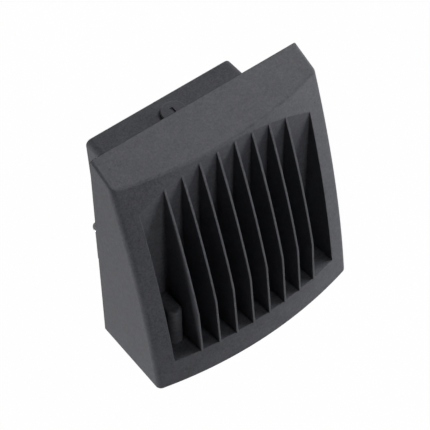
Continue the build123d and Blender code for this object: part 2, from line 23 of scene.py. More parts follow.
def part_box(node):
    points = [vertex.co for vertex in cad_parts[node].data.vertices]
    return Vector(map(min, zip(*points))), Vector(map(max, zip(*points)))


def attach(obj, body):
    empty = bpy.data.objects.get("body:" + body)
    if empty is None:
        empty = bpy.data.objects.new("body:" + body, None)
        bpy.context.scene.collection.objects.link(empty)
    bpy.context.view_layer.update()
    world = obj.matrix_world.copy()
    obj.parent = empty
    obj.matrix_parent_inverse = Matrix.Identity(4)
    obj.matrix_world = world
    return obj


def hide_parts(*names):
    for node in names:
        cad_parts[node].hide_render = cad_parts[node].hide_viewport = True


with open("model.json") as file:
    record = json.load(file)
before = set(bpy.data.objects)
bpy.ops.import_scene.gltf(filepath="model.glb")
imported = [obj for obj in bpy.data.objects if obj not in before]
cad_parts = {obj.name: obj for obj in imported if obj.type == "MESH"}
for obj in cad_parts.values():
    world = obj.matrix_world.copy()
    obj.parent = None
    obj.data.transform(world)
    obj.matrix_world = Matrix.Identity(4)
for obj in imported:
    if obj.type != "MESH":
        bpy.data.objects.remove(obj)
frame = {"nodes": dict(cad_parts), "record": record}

logging.basicConfig(level=logging.INFO, format="%(message)s")
log = logging.getLogger("wall_light")

Colour = tuple[float, float, float]
Point = tuple[float, float, float]
Pair = tuple[float, float]

MM = 0.001
WHITE = (1.0, 1.0, 1.0)
UP = (0, 0, 1)
INTO_WALL = (0, 1, 0)
OUT = (0, -1, 0)
SIDES = (-1, 1)
SQUARE = np.array([[-1, -1], [1, -1], [1, 1], [-1, 1]])
SHARP_ANGLE = math.radians(38.0)
CORNER_STEPS = 9
FRONT_STEPS = 41
HOLE_STEPS = 40
RING_STEPS = 64
FINE_STEPS = 48
BEAD_STEPS = 16
BEVEL_SAMPLES = 4
ELLIPSE = 2.0
BOARD_Y = -92.0 * MM
BOARD_SCREWS = (58.0 * MM, 16.0 * MM)


class Body(str, Enum):
    """Bodies of the light that move as one."""

    BASE = "base"
    DOOR = "door"
    SCREW = "screw"


def maths(operation: str, swapped: bool = False) -> Callable[..., "Value"]:
    """Method of Value that adds a Math node.

    Args:
        operation: Name of the Math operation.
        swapped: Whether the value comes last, as in a reflected operator.

    Returns:
        The method, from other values or plain numbers to a new value.
    """

    def method(value: "Value", *others: "Value | float") -> "Value":
        """Join the inputs to the node, and wrap what comes out."""
        inputs = (*others, value) if swapped else (value, *others)
        node = value.graph.node("ShaderNodeMath", dict(enumerate(inputs)), operation=operation)
        return Value(value.graph, node.outputs[0])

    return method


class Value:
    """A number on a material's surface, so that shader maths reads as Python arithmetic."""

    __add__ = __radd__ = maths("ADD")
    __sub__ = maths("SUBTRACT")
    __rsub__ = maths("SUBTRACT", swapped=True)
    __mul__ = __rmul__ = maths("MULTIPLY")
    __truediv__ = maths("DIVIDE")
    __abs__ = maths("ABSOLUTE")
    most = maths("MAXIMUM")
    modulo = maths("FLOORED_MODULO")

    def __init__(self, graph: "Graph", socket: bpy.types.NodeSocket) -> None:
        """Wrap one output socket of the graph."""
        self.graph = graph
        self.socket = socket

    def swing(self, amount: float) -> "Value":
        """This pattern about its middle, 0.5, times an amount."""
        return (self - 0.5) * amount

    def step(self, low: float, high: float) -> "Value":
        """Smooth ramp from 0 at low to 1 at high."""
        inputs = {"Value": self, "From Min": low, "From Max": high}
        node = self.graph.node("ShaderNodeMapRange", inputs, interpolation_type="SMOOTHSTEP")
        return Value(self.graph, node.outputs["Result"])


def solid(colour: Colour) -> tuple[float, float, float, float]:
    """Colour with full cover."""
    return (*colour, 1.0)


class Graph:
    """Node tree of a material or of the world, with its output in place."""

    def __init__(self, name: str, world: bool = False) -> None:
        """Start an empty tree for a material or a world of that name."""
        self.owner = bpy.data.worlds.new(name) if world else bpy.data.materials.new(name)
        self.owner.use_nodes = True
        self.tree = self.owner.node_tree
        self.tree.nodes.clear()
        self.output = self.node("ShaderNodeOutputWorld" if world else "ShaderNodeOutputMaterial")

    def node(self, kind: str, inputs: dict[Any, Any] | None = None, **settings: Any) -> bpy.types.Node:
        """Add any node.

        Args:
            kind: The node's type.
            inputs: Values or links of its sockets, by name or number.
            settings: Its own settings, set before the inputs.

        Returns:
            The node.
        """
        node = self.tree.nodes.new(kind)
        for key, setting in settings.items():
            setattr(node, key, setting)
        for key, value in (inputs or {}).items():
            source = value.socket if isinstance(value, Value) else value
            if isinstance(source, bpy.types.NodeSocket):
                self.tree.links.new(source, node.inputs[key])
            else:
                node.inputs[key].default_value = source
        return node

    def place(self) -> bpy.types.NodeSocket:
        """Place on the object, in metres of the shared frame."""
        return self.node("ShaderNodeTexCoord").outputs["Object"]

    def along(self, axis: str) -> Value:
        """One coordinate of the place on the object, "X", "Y" or "Z", in metres."""
        return Value(self, self.node("ShaderNodeSeparateXYZ", {"Vector": self.place()}).outputs[axis])

    def noise(self, grain: float, detail: float, stretch: Point = (1.0, 1.0, 1.0)) -> Value:
        """Soft random pattern.

        Args:
            grain: Size of its features in metres.
            detail: Octaves of finer pattern on top.
            stretch: Share of the frequency kept along each axis.

        Returns:
            The pattern, about 0 to 1.
        """
        spread = self.node("ShaderNodeMapping", {"Vector": self.place(), "Scale": stretch})
        inputs = {"Vector": spread.outputs[0], "Scale": 1.0 / grain, "Detail": detail}
        return Value(self, self.node("ShaderNodeTexNoise", inputs).outputs["Fac"])

    def blend(self, share: Value, first: Colour, second: Colour) -> bpy.types.NodeSocket:
        """Colour between two linear ones, the first at share 0 and the second at share 1."""
        node = self.node("ShaderNodeValToRGB", {"Fac": share})
        for element, colour in zip(node.color_ramp.elements, (first, second)):
            element.color = solid(colour)
        return node.outputs["Color"]

    def bump(self, height: Value, depth: float, strength: float, edge: float = 0.0) -> bpy.types.NodeSocket:
        """Fine relief.

        Args:
            height: Relief, 0 to 1.
            depth: Depth of the relief in metres.
            strength: Share of the relief that shows.
            edge: Radius by which sharp edges look broken, in metres; 0 leaves them sharp.

        Returns:
            Socket of the bent normal.
        """
        inputs: dict[str, Any] = {"Height": height, "Distance": depth, "Strength": strength}
        if edge > 0.0:
            inputs["Normal"] = self.node("ShaderNodeBevel", {"Radius": edge}, samples=BEVEL_SAMPLES).outputs["Normal"]
        return self.node("ShaderNodeBump", inputs).outputs["Normal"]

    def seen(self, sheen: float) -> Value:
        """1 for a ray from the camera or through glass, sheen off a shiny surface, and 0 for light on a dull one."""
        path = self.node("ShaderNodeLightPath").outputs
        direct = Value(self, path["Is Camera Ray"]).most(Value(self, path["Is Transmission Ray"]))
        return direct.most(Value(self, path["Is Glossy Ray"]) * sheen)

    def end(self, shader: bpy.types.Node) -> bpy.types.Material | bpy.types.World:
        """Lead a shader to the output, and return what the tree belongs to."""
        self.tree.links.new(shader.outputs[0], self.output.inputs["Surface"])
        return self.owner


@dataclass(frozen=True)
class Finish(ABC):
    """What every finish can do.

    A pattern is its size in metres and its octaves. A relief is its depth in metres and the share of it that shows.
    """

    def make(self, name: str) -> bpy.types.Material:
        """Make the material of that name, with one Principled shader."""
        graph = Graph(name)
        return graph.end(graph.node("ShaderNodeBsdfPrincipled", self.sockets(graph)))

    @abstractmethod
    def sockets(self, graph: Graph) -> dict[str, Any]:
        """Inputs of the finish's shader, by the names of its sockets."""


@dataclass(frozen=True)
class PowderCoat(Finish):
    """Fine-textured baked coat on a casting: sandy relief, faint mottling and softened edges."""

    dark: Colour = (0.038, 0.0390, 0.0445)
    pale: Colour = (0.134, 0.1375, 0.1570)
    grain: Pair = (1.5 * MM, 4.0)
    patch: Pair = (3.4 * MM, 2.0)
    patch_tone: float = 0.5
    drift: Pair = (16.0 * MM, 2.0)
    drift_tone: float = 0.36
    roughness: float = 0.52
    grain_roughness: float = 0.16
    drift_roughness: float = 0.06
    gloss: float = 0.27
    relief: Pair = (0.16 * MM, 0.55)
    edge: float = 0.9 * MM

    def sockets(self, graph: Graph) -> dict[str, Any]:
        """Sand over patches and a slow drift gives the tone, and the sand is the relief as well."""
        sand = graph.noise(*self.grain)
        patch = graph.noise(*self.patch)
        drift = graph.noise(*self.drift)
        tone = sand + patch.swing(self.patch_tone) + drift.swing(self.drift_tone)
        return {
            "Base Color": graph.blend(tone, self.dark, self.pale),
            "Roughness": self.roughness + sand.swing(self.grain_roughness) + drift.swing(self.drift_roughness),
            "Specular IOR Level": self.gloss,
            "Normal": graph.bump(sand, *self.relief, self.edge),
        }


@dataclass(frozen=True)
class Rubber(Finish):
    """Soft moulded rubber with a dusty bloom and a fine satin grain."""

    colour: Colour = (0.012, 0.012, 0.013)
    bloom: Colour = (0.032, 0.032, 0.033)
    dust: Pair = (9.0 * MM, 4.0)
    dust_range: Pair = (0.35, 0.8)
    roughness: float = 0.62
    dust_roughness: float = 0.2
    skin: Pair = (0.5 * MM, 2.0)
    relief: Pair = (0.04 * MM, 0.5)

    def sockets(self, graph: Graph) -> dict[str, Any]:
        """Dust gives the tone, and a fine skin the relief."""
        dust = graph.noise(*self.dust)
        return {
            "Base Color": graph.blend(dust.step(*self.dust_range), self.colour, self.bloom),
            "Roughness": self.roughness + dust.swing(self.dust_roughness),
            "Normal": graph.bump(graph.noise(*self.skin), *self.relief),
        }


@dataclass(frozen=True)
class Grained(Finish):
    """Plastic, phosphor or turned metal: a tone that drifts, and a fine grain."""

    colour: Colour
    shade: Colour
    drift: Pair = (12.0 * MM, 3.0)
    grain: Pair = (0.4 * MM, 2.0)
    stretch: Point = (1.0, 1.0, 1.0)
    metallic: float = 0.0
    roughness: float = 0.42
    grain_roughness: float = 0.14
    relief: Pair = (0.03 * MM, 0.5)

    def sockets(self, graph: Graph) -> dict[str, Any]:
        """The drift gives the tone, and the grain the relief."""
        grain = graph.noise(*self.grain, self.stretch)
        return {
            "Base Color": graph.blend(graph.noise(*self.drift), self.shade, self.colour),
            "Metallic": self.metallic,
            "Roughness": self.roughness + grain.swing(self.grain_roughness),
            "Normal": graph.bump(grain, *self.relief),
        }


@dataclass(frozen=True)
class ClearBody(Finish):
    """Clear glass or resin with the faintest waves on its surface and a breath of haze."""

    tint: Colour = (0.93, 0.965, 0.95)
    ior: float = 1.5
    wave: Pair = (30.0 * MM, 1.0)
    haze: Pair = (5.0 * MM, 3.0)
    stretch: Point = (1.0, 1.0, 1.0)
    roughness: float = 0.02
    haze_roughness: float = 0.03
    relief: Pair = (0.05 * MM, 0.3)

    def sockets(self, graph: Graph) -> dict[str, Any]:
        """Waves give the relief, and haze dulls the surface in places."""
        wave = graph.noise(*self.wave, self.stretch)
        haze = graph.noise(*self.haze, self.stretch)
        return {
            "Base Color": solid(self.tint),
            "Roughness": self.roughness + haze * self.haze_roughness,
            "IOR": self.ior,
            "Transmission Weight": 1.0,
            "Normal": graph.bump(wave, *self.relief),
        }


@dataclass(frozen=True)
class BoardEnamel(Finish):
    """White solder mask with copper tracks showing faintly through it."""

    mask: Colour = (0.80, 0.80, 0.78)
    track: Colour = (0.68, 0.70, 0.66)
    pitch: float = 7.0 * MM
    track_edge: Pair = (0.30, 0.34)
    skin: Pair = (0.8 * MM, 3.0)
    skin_height: float = 0.2
    roughness: float = 0.34
    skin_roughness: float = 0.12
    relief: Pair = (0.05 * MM, 0.5)

    def sockets(self, graph: Graph) -> dict[str, Any]:
        """Tracks are bands across the board, and stand out through the mask's skin."""
        band = abs(graph.along("X").modulo(self.pitch) / self.pitch - 0.5)
        track = band.step(*self.track_edge)
        skin = graph.noise(*self.skin)
        return {
            "Base Color": graph.blend(track, self.mask, self.track),
            "Roughness": self.roughness + skin.swing(self.skin_roughness),
            "Normal": graph.bump(track + skin * self.skin_height, *self.relief),
        }


def steel(colour: Colour, worn: Colour, roughness: float) -> Grained:
    """Turned steel with slow smears and fine scratches."""
    return Grained(
        colour, worn, drift=(6.0 * MM, 3.0), grain=(0.35 * MM, 3.0), stretch=(1.0, 0.15, 1.0), metallic=1.0,
        roughness=roughness, grain_roughness=0.2, relief=(0.02 * MM, 0.4),
    )


SLOT_FINISHES: dict[str, Finish] = {
    "graphite_casting": PowderCoat(),
    "graphite_plug": PowderCoat(grain=(0.8 * MM, 4.0), edge=0.3 * MM),
    "stainless_steel": steel((0.56, 0.56, 0.55), (0.42, 0.42, 0.42), 0.3),
    "black_silicone": Rubber(),
    "grey_rubber": Rubber(colour=(0.10, 0.10, 0.102), bloom=(0.16, 0.16, 0.16), roughness=0.8),
    "clear_glass": ClearBody(),
    "white_board": BoardEnamel(),
    "led_phosphor": Grained(
        (0.80, 0.52, 0.06), (0.70, 0.40, 0.03), drift=(0.25 * MM, 3.0), grain=(0.25 * MM, 3.0),
        roughness=0.4, grain_roughness=0.1, relief=(0.02 * MM, 0.4),
    ),
    "clear_optic": ClearBody(
        tint=(0.97, 0.975, 0.97), ior=1.49, wave=(4.0 * MM, 2.0), haze=(4.0 * MM, 2.0),
        stretch=(0.3, 1.0, 1.0), roughness=0.06, haze_roughness=0.05, relief=(0.03 * MM, 0.4),
    ),
    "thermal_sheet": Rubber(colour=(0.28, 0.30, 0.33), bloom=(0.36, 0.38, 0.40), roughness=0.7),
    "driver_case": Grained((0.62, 0.63, 0.64), (0.54, 0.55, 0.56), roughness=0.5),
    "black_insulation": Grained((0.020, 0.020, 0.021), (0.013, 0.013, 0.014)),
    "white_insulation": Grained((0.76, 0.76, 0.74), (0.66, 0.66, 0.64)),
    "green_insulation": Grained((0.03, 0.24, 0.07), (0.02, 0.17, 0.05)),
    "red_insulation": Grained((0.46, 0.03, 0.025), (0.35, 0.02, 0.018)),
    "connector_body": Grained((0.56, 0.19, 0.016), (0.47, 0.145, 0.011), roughness=0.35),
    "green_screw": steel((0.06, 0.33, 0.12), (0.04, 0.24, 0.09), 0.38),
}


class Paintbox:
    """Materials of the light, one for each slot of the record, made once and shared."""

    def __init__(self) -> None:
        """Make every material."""
        self.materials = {slot: finish.make(slot) for slot, finish in SLOT_FINISHES.items()}

    def dress_nodes(self) -> None:
        """Give every CAD node the material of its slot in the record."""
        for entry in frame["record"]["subparts"]:
            obj = frame["nodes"][entry["node"]]
            obj.data.materials.clear()
            obj.data.materials.append(self.materials[entry["material_slot"]])
            log.info("dressed %s in %s", entry["node"], entry["material_slot"])


def turns(count: int) -> np.ndarray:
    """Angles of a full turn in radians, evenly spaced."""
    return np.linspace(0.0, 2 * math.pi, count, endpoint=False)


def around(turn: np.ndarray) -> np.ndarray:
    """Points of the unit circle at angles, on a new last axis."""
    return np.stack([np.cos(turn), np.sin(turn)], -1)


def ring_loop(half_width: float, half_height: float, steps: int, power: float = 4.0) -> np.ndarray:
    """Loop of a rounded box, |x/a|^p + |y/b|^p = 1, for half sizes a and b; power 2 gives an ellipse."""
    curve = around(turns(steps))
    return np.sign(curve) * np.abs(curve) ** (2 / power) * (half_width, half_height)


def lift(flat: np.ndarray, level: np.ndarray | float, upright: bool = False) -> np.ndarray:
    """Points of a plane at levels across it; the plane is X and Y, or X and Z where it is upright."""
    points = np.concatenate([flat, np.broadcast_to(level, flat.shape[:-1])[..., None]], -1)
    return points[..., [0, 2, 1]] if upright else points


def spin(reach: np.ndarray, height: np.ndarray, turn: np.ndarray, direction: Point) -> np.ndarray:
    """Points about an axis e3 through the origin: r (cos t e1 + sin t e2) + h e3 at reach r, height h and turn t."""
    along = np.array(direction, float)
    first = np.roll(np.abs(along), 1)
    second = np.cross(along, first)
    reach, height, turn = (values[..., None] for values in np.broadcast_arrays(reach, height, turn))
    return reach * (np.cos(turn) * first + np.sin(turn) * second) + height * along


def add_object(name: str, data: bpy.types.ID) -> bpy.types.Object:
    """Put a mesh, a lamp or a camera in the scene."""
    obj = bpy.data.objects.new(name, data)
    bpy.context.scene.collection.objects.link(obj)
    return obj


class Piece:
    """A new surface of the light: it becomes a mesh, takes a finish and rides on a body."""

    def __init__(self, name: str, points: np.ndarray, faces: list[np.ndarray]) -> None:
        """Put points and faces in a mesh, with every face turned outwards.

        The sum of the signed volumes below the faces tells whether the surface is inside out.

        Args:
            name: Name of the piece.
            points: Points of the mesh, one row each.
            faces: Arrays of point numbers, one array for each count of corners.
        """
        corners = np.vstack([f[:, [0, i, i + 1]] for f in faces for i in range(1, f.shape[1] - 1)])
        if np.linalg.det(points[corners]).sum() < 0.0:
            faces = [f[:, ::-1] for f in faces]
        mesh = bpy.data.meshes.new(name)
        mesh.from_pydata(points.tolist(), [], [face for f in faces for face in f.tolist()])
        mesh.polygons.foreach_set("use_smooth", np.ones(len(mesh.polygons), bool))
        mesh.set_sharp_from_angle(angle=SHARP_ANGLE)
        self.obj = add_object(name, mesh)

    @classmethod
    def shell(cls, name: str, grid: np.ndarray, closed: bool = False, spots: np.ndarray | None = None) -> "Piece":
        """Closed surface on a grid, with rows along the piece and columns around it.

        Each face joins a point with its neighbours in the next column and the next row. An open end closes in a fan
        on the mean of its row.

        Args:
            name: Name of the piece.
            grid: Points, rows by columns by 3.
            closed: Whether the last row joins the first.
            spots: Offsets at which the surface is repeated, one row each.

        Returns:
            The piece.
        """
        rows, columns = grid.shape[:2]
        count = rows * columns
        index = np.arange(count).reshape(rows, columns)
        here = index if closed else index[:-1]
        ahead = np.roll(index, -1, 0) if closed else index[1:]
        sides = np.stack([here, np.roll(here, -1, 1), np.roll(ahead, -1, 1), ahead], -1).reshape(-1, 4)
        points = grid.reshape(-1, 3)
        faces = [sides]
        if not closed:
            points = np.vstack([points, grid[0].mean(0), grid[-1].mean(0)])
            first, last = index[0], index[-1]
            start = np.column_stack([np.full(columns, count), np.roll(first, -1), first])
            end = np.column_stack([np.full(columns, count + 1), last, np.roll(last, -1)])
            faces.append(np.vstack([start, end]))
        places = np.zeros((1, 3)) if spots is None else np.asarray(spots, float)
        steps = np.arange(len(places))[:, None, None] * len(points)
        faces = [(f[None] + steps).reshape(-1, f.shape[1]) for f in faces]
        return cls(name, (points[None] + places[:, None]).reshape(-1, 3), faces)

    @classmethod
    def turned(cls, name: str, loop: np.ndarray, direction: Point, spots: np.ndarray | None = None) -> "Piece":
        """Ring at each spot: a closed loop of (radius, height) points, carried round an axis through the spot."""
        grid = spin(loop[None, :, 0], loop[None, :, 1], turns(RING_STEPS)[:, None], direction)
        return cls.shell(name, grid, closed=True, spots=spots)

    @classmethod
    def discs(cls, name: str, radius: float, rows: np.ndarray, count: int, spots: np.ndarray) -> "Piece":
        """Like discs on an upright face; rows are a share of the radius and a level, from the rim to the middle."""
        share, level = rows.T[:, :, None]
        flat = (share * radius)[..., None] * around(turns(count))
        return cls.shell(name, lift(flat, level, upright=True), spots=spots)

    def fit(self, paints: Paintbox, body: Body, slot: str, *nodes: str) -> None:
        """Finish the piece.

        Args:
            paints: Materials of the light.
            body: The body that it rides on.
            slot: Slot of the record that its finish comes from.
            nodes: CAD nodes that it stands for.
        """
        self.obj.data.materials.append(paints.materials[slot])
        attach(self.obj, body.value)
        if nodes:
            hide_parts(*nodes)
        log.info("built %s on %s", self.obj.name, body.value)


@dataclass(frozen=True)
class BoxOutline:
    """Tapered outline of the back box, with round corners, in the upright plane across the light."""

    half_height: float = 75.0 * MM
    half_top: float = 68.6 * MM
    half_bottom: float = 63.6 * MM
    corner: float = 5.0 * MM

    def inset(self, margin: np.ndarray) -> np.ndarray:
        """Outlines drawn in by margins: each corner's arc keeps its centre and loses the margin from its radius.

        Args:
            margin: Margins, one for each outline.

        Returns:
            X and Z of the points, arcs by margins by 2.
        """
        wide, narrow, high = self.half_top, self.half_bottom, self.half_height
        tips = np.array([[narrow, -high], [wide, high], [-wide, high], [-narrow, -high]])
        lean = math.atan2(wide - narrow, 2 * high)
        bounds = np.array([-math.pi / 2, -lean, math.pi / 2, math.pi + lean, 1.5 * math.pi])
        normals = around(bounds)
        total = normals[:-1] + normals[1:]
        centres = tips - self.corner * total / (1 + np.sum(normals[:-1] * normals[1:], -1, keepdims=True))
        turn = bounds[:-1, None] + np.diff(bounds)[:, None] * np.linspace(0.0, 1.0, CORNER_STEPS)
        reach = (self.corner - np.asarray(margin)).reshape(1, -1, 1)
        return np.repeat(centres, CORNER_STEPS, 0)[:, None] + reach * around(turn).reshape(-1, 1, 2)


@dataclass(frozen=True)
class DoorPlan:
    """Plan of the door at its bottom edge: straight back and sides, round front corners and a bowed front."""

    half: float = 96.0 * MM
    back: float = -48.0 * MM
    side: float = -121.4 * MM
    bow: float = 12.5 * MM
    corner: float = 5.0 * MM

    def inset(self, margin: np.ndarray) -> np.ndarray:
        """Plans drawn in by margins.

        The front is the circle through both sides and the bow: its radius is (h^2 + b^2) / 2b for half-width h and
        bow b. Each front corner is a circle that touches the side and that front from within.

        Args:
            margin: Margins, one for each plan.

        Returns:
            X and Y of the points, path by margins by 2.
        """
        inside = np.asarray(margin)[None, :]
        half, back = self.half - inside, self.back - inside
        radius = (half**2 + self.bow**2) / (2 * self.bow)
        middle = self.side + inside - self.bow + radius
        round_x = half - self.corner
        round_y = middle - np.sqrt((radius - self.corner) ** 2 - round_x**2)
        meet = np.arctan2(round_y - middle, round_x)
        bend = meet * np.linspace(0.0, 1.0, CORNER_STEPS)[:, None]
        right = np.stack([round_x, round_y], -1) + self.corner * around(bend)
        sweep = meet + (-math.pi - 2 * meet) * np.linspace(0.0, 1.0, FRONT_STEPS)[1:-1, None]
        front = np.stack([radius * np.cos(sweep), middle + radius * np.sin(sweep)], -1)
        heel = np.stack([half, back], -1)
        mirror = np.array([-1.0, 1.0])
        return np.concatenate([heel, right, front, right[::-1] * mirror, heel * mirror])


class Head(Enum):
    """Shapes of a screw's head."""

    CYLINDER = "cylinder"
    COUNTERSUNK = "countersunk"
    HEXAGON = "hexagon"


@dataclass(kw_only=True)
class Fastener:
    """Like screws of the light: drive, head, plain shank and thread, from the head's face to the tip."""

    name: str
    spots: list[Point]
    direction: Point
    head_radius: float
    head_height: float
    shank: float
    length: float
    thread_from: float
    pitch: float
    socket: float = 0.0
    socket_depth: float = 0.0
    head: Head = Head.CYLINDER
    body: Body = Body.DOOR
    slot: str = "stainless_steel"
    mouth_depth: float = 0.12 * MM
    mouth_flare: float = 1.07
    round_share: float = 0.3
    sunk_edge: float = 0.08 * MM
    hex_edge: float = 0.3 * MM
    hex_face: float = 0.94
    tip: float = 0.72
    thread_share: float = 0.6
    rows_per_pitch: int = 8
    columns: int = 36
    crown_rows: int = 7

    def rows(self) -> np.ndarray:
        """Profile from the drive to the tip.

        Returns:
            Rows of radius, height, share of a hexagon and share of the thread's depth.
        """
        radius, deep = self.head_radius, self.head_height
        flat = self.socket / 2
        if self.socket:
            flare = self.mouth_flare * flat
            drive = [(flat, self.socket_depth, 1, 0), (flat, self.mouth_depth, 1, 0), (flare, 0, 1, 0)]
        else:
            drive = [(radius / 2, 0, 0, 0)]
        if self.head is Head.CYLINDER:
            bend = np.linspace(0.0, math.pi / 2, self.crown_rows)
            edge = self.round_share * deep
            crown = np.stack([radius - edge + edge * np.sin(bend), edge - edge * np.cos(bend)], -1)
            cap = [(*row, 0, 0) for row in crown] + [(radius, deep, 0, 0)]
        elif self.head is Head.COUNTERSUNK:
            cap = [(radius - self.sunk_edge, 0, 0, 0), (radius, self.sunk_edge, 0, 0)]
        else:
            reach = radius * math.cos(math.pi / 6)
            cap = [(self.hex_face * reach, 0, 0, 0), (reach, self.hex_edge, 1, 0), (reach, deep, 1, 0)]
        levels = np.arange(self.thread_from, self.length - self.pitch / 2, self.pitch / self.rows_per_pitch)
        thread = [(self.shank, level, 0, 1) for level in levels]
        stem = [(self.shank, deep, 0, 0), *thread, (self.tip * self.shank, self.length, 0, 0)]
        return np.array([*drive, *cap, *stem], float)

    def build(self, paints: Paintbox) -> None:
        """Turn the profile about the screw's axis.

        A row's radius is its circle's, or a hexagon's with flats at that radius, which is 1 / cos of the angle to the
        nearest flat, less the thread's depth times the distance from a helix's crest, |2 frac(h / pitch - turn) - 1|.

        Args:
            paints: Materials of the light.
        """
        radius, height, hexed, cut = self.rows().T[:, :, None]
        turn = turns(self.columns)[None, :]
        helix = np.abs(2 * np.mod(height / self.pitch - turn / (2 * math.pi), 1.0) - 1)
        hexagon = 1.0 / np.cos(np.mod(turn, math.pi / 3) - math.pi / 6)
        reach = radius * (1 - hexed + hexed * hexagon) - self.thread_share * self.pitch * cut * helix
        grid = spin(reach, height, turn, self.direction)
        piece = Piece.shell(self.name + "_turned", grid, spots=np.array(self.spots))
        piece.fit(paints, self.body, self.slot, self.name)


@dataclass
class Fasteners:
    """Every screw of the light that shows, in its place in the shared frame."""

    captive: Point = (71.5 * MM, -75.0 * MM, -52.0 * MM)
    frame_z: float = -97.0 * MM
    frame_x: Pair = (60.0 * MM, 90.4 * MM)
    frame_y: Point = (-123.417 * MM, -53.6 * MM, -92.0 * MM)
    board_z: float = -81.9 * MM
    driver: Point = (50.5 * MM, -74.3 * MM, 30.0 * MM)
    ground: Point = (30.0 * MM, -13.9 * MM, -55.0 * MM)

    def sets(self) -> list[Fastener]:
        """List the screws by kind."""
        near, far = self.frame_x
        front, back, middle = self.frame_y
        frame_places = ((near, front), (near, back), (far, middle))
        board_x, board_y = BOARD_SCREWS
        return [
            Fastener(
                name="captive_screw", body=Body.SCREW, spots=[self.captive], direction=INTO_WALL, head_radius=4.4 * MM,
                head_height=5.0 * MM, shank=2.5 * MM, length=37.0 * MM, thread_from=28.6 * MM, pitch=0.8 * MM,
                socket=4.0 * MM, socket_depth=2.6 * MM,
            ),
            Fastener(
                name="frame_screws", head=Head.COUNTERSUNK, direction=UP,
                spots=[(s * x, y, self.frame_z) for s in SIDES for x, y in frame_places], head_radius=2.3 * MM,
                head_height=0.8 * MM, shank=1.5 * MM, length=9.0 * MM, thread_from=3.0 * MM, pitch=0.5 * MM,
                socket=2.0 * MM, socket_depth=0.75 * MM,
            ),
            Fastener(
                name="board_screws", direction=UP,
                spots=[(s * board_x, BOARD_Y + t * board_y, self.board_z) for s in SIDES for t in SIDES],
                head_radius=2.7 * MM, head_height=1.8 * MM, shank=1.5 * MM, length=7.3 * MM, thread_from=4.2 * MM,
                pitch=0.5 * MM, socket=2.0 * MM, socket_depth=1.1 * MM,
            ),
            Fastener(
                name="driver_screws", direction=OUT, spots=[(s * self.driver[0], *self.driver[1:]) for s in SIDES],
                head_radius=3.4 * MM, head_height=2.2 * MM, shank=1.75 * MM, length=6.7 * MM, thread_from=4.9 * MM,
                pitch=0.7 * MM, socket=2.5 * MM, socket_depth=1.3 * MM,
            ),
            Fastener(
                name="ground_screw", body=Body.BASE, slot="green_screw", head=Head.HEXAGON, spots=[self.ground],
                direction=INTO_WALL, head_radius=4.0 * MM, head_height=2.4 * MM, shank=2.0 * MM, length=9.4 * MM,
                thread_from=2.8 * MM, pitch=0.7 * MM,
            ),
        ]

    def build(self, paints: Paintbox) -> None:
        """Build every set of screws."""
        for fastener in self.sets():
            fastener.build(paints)


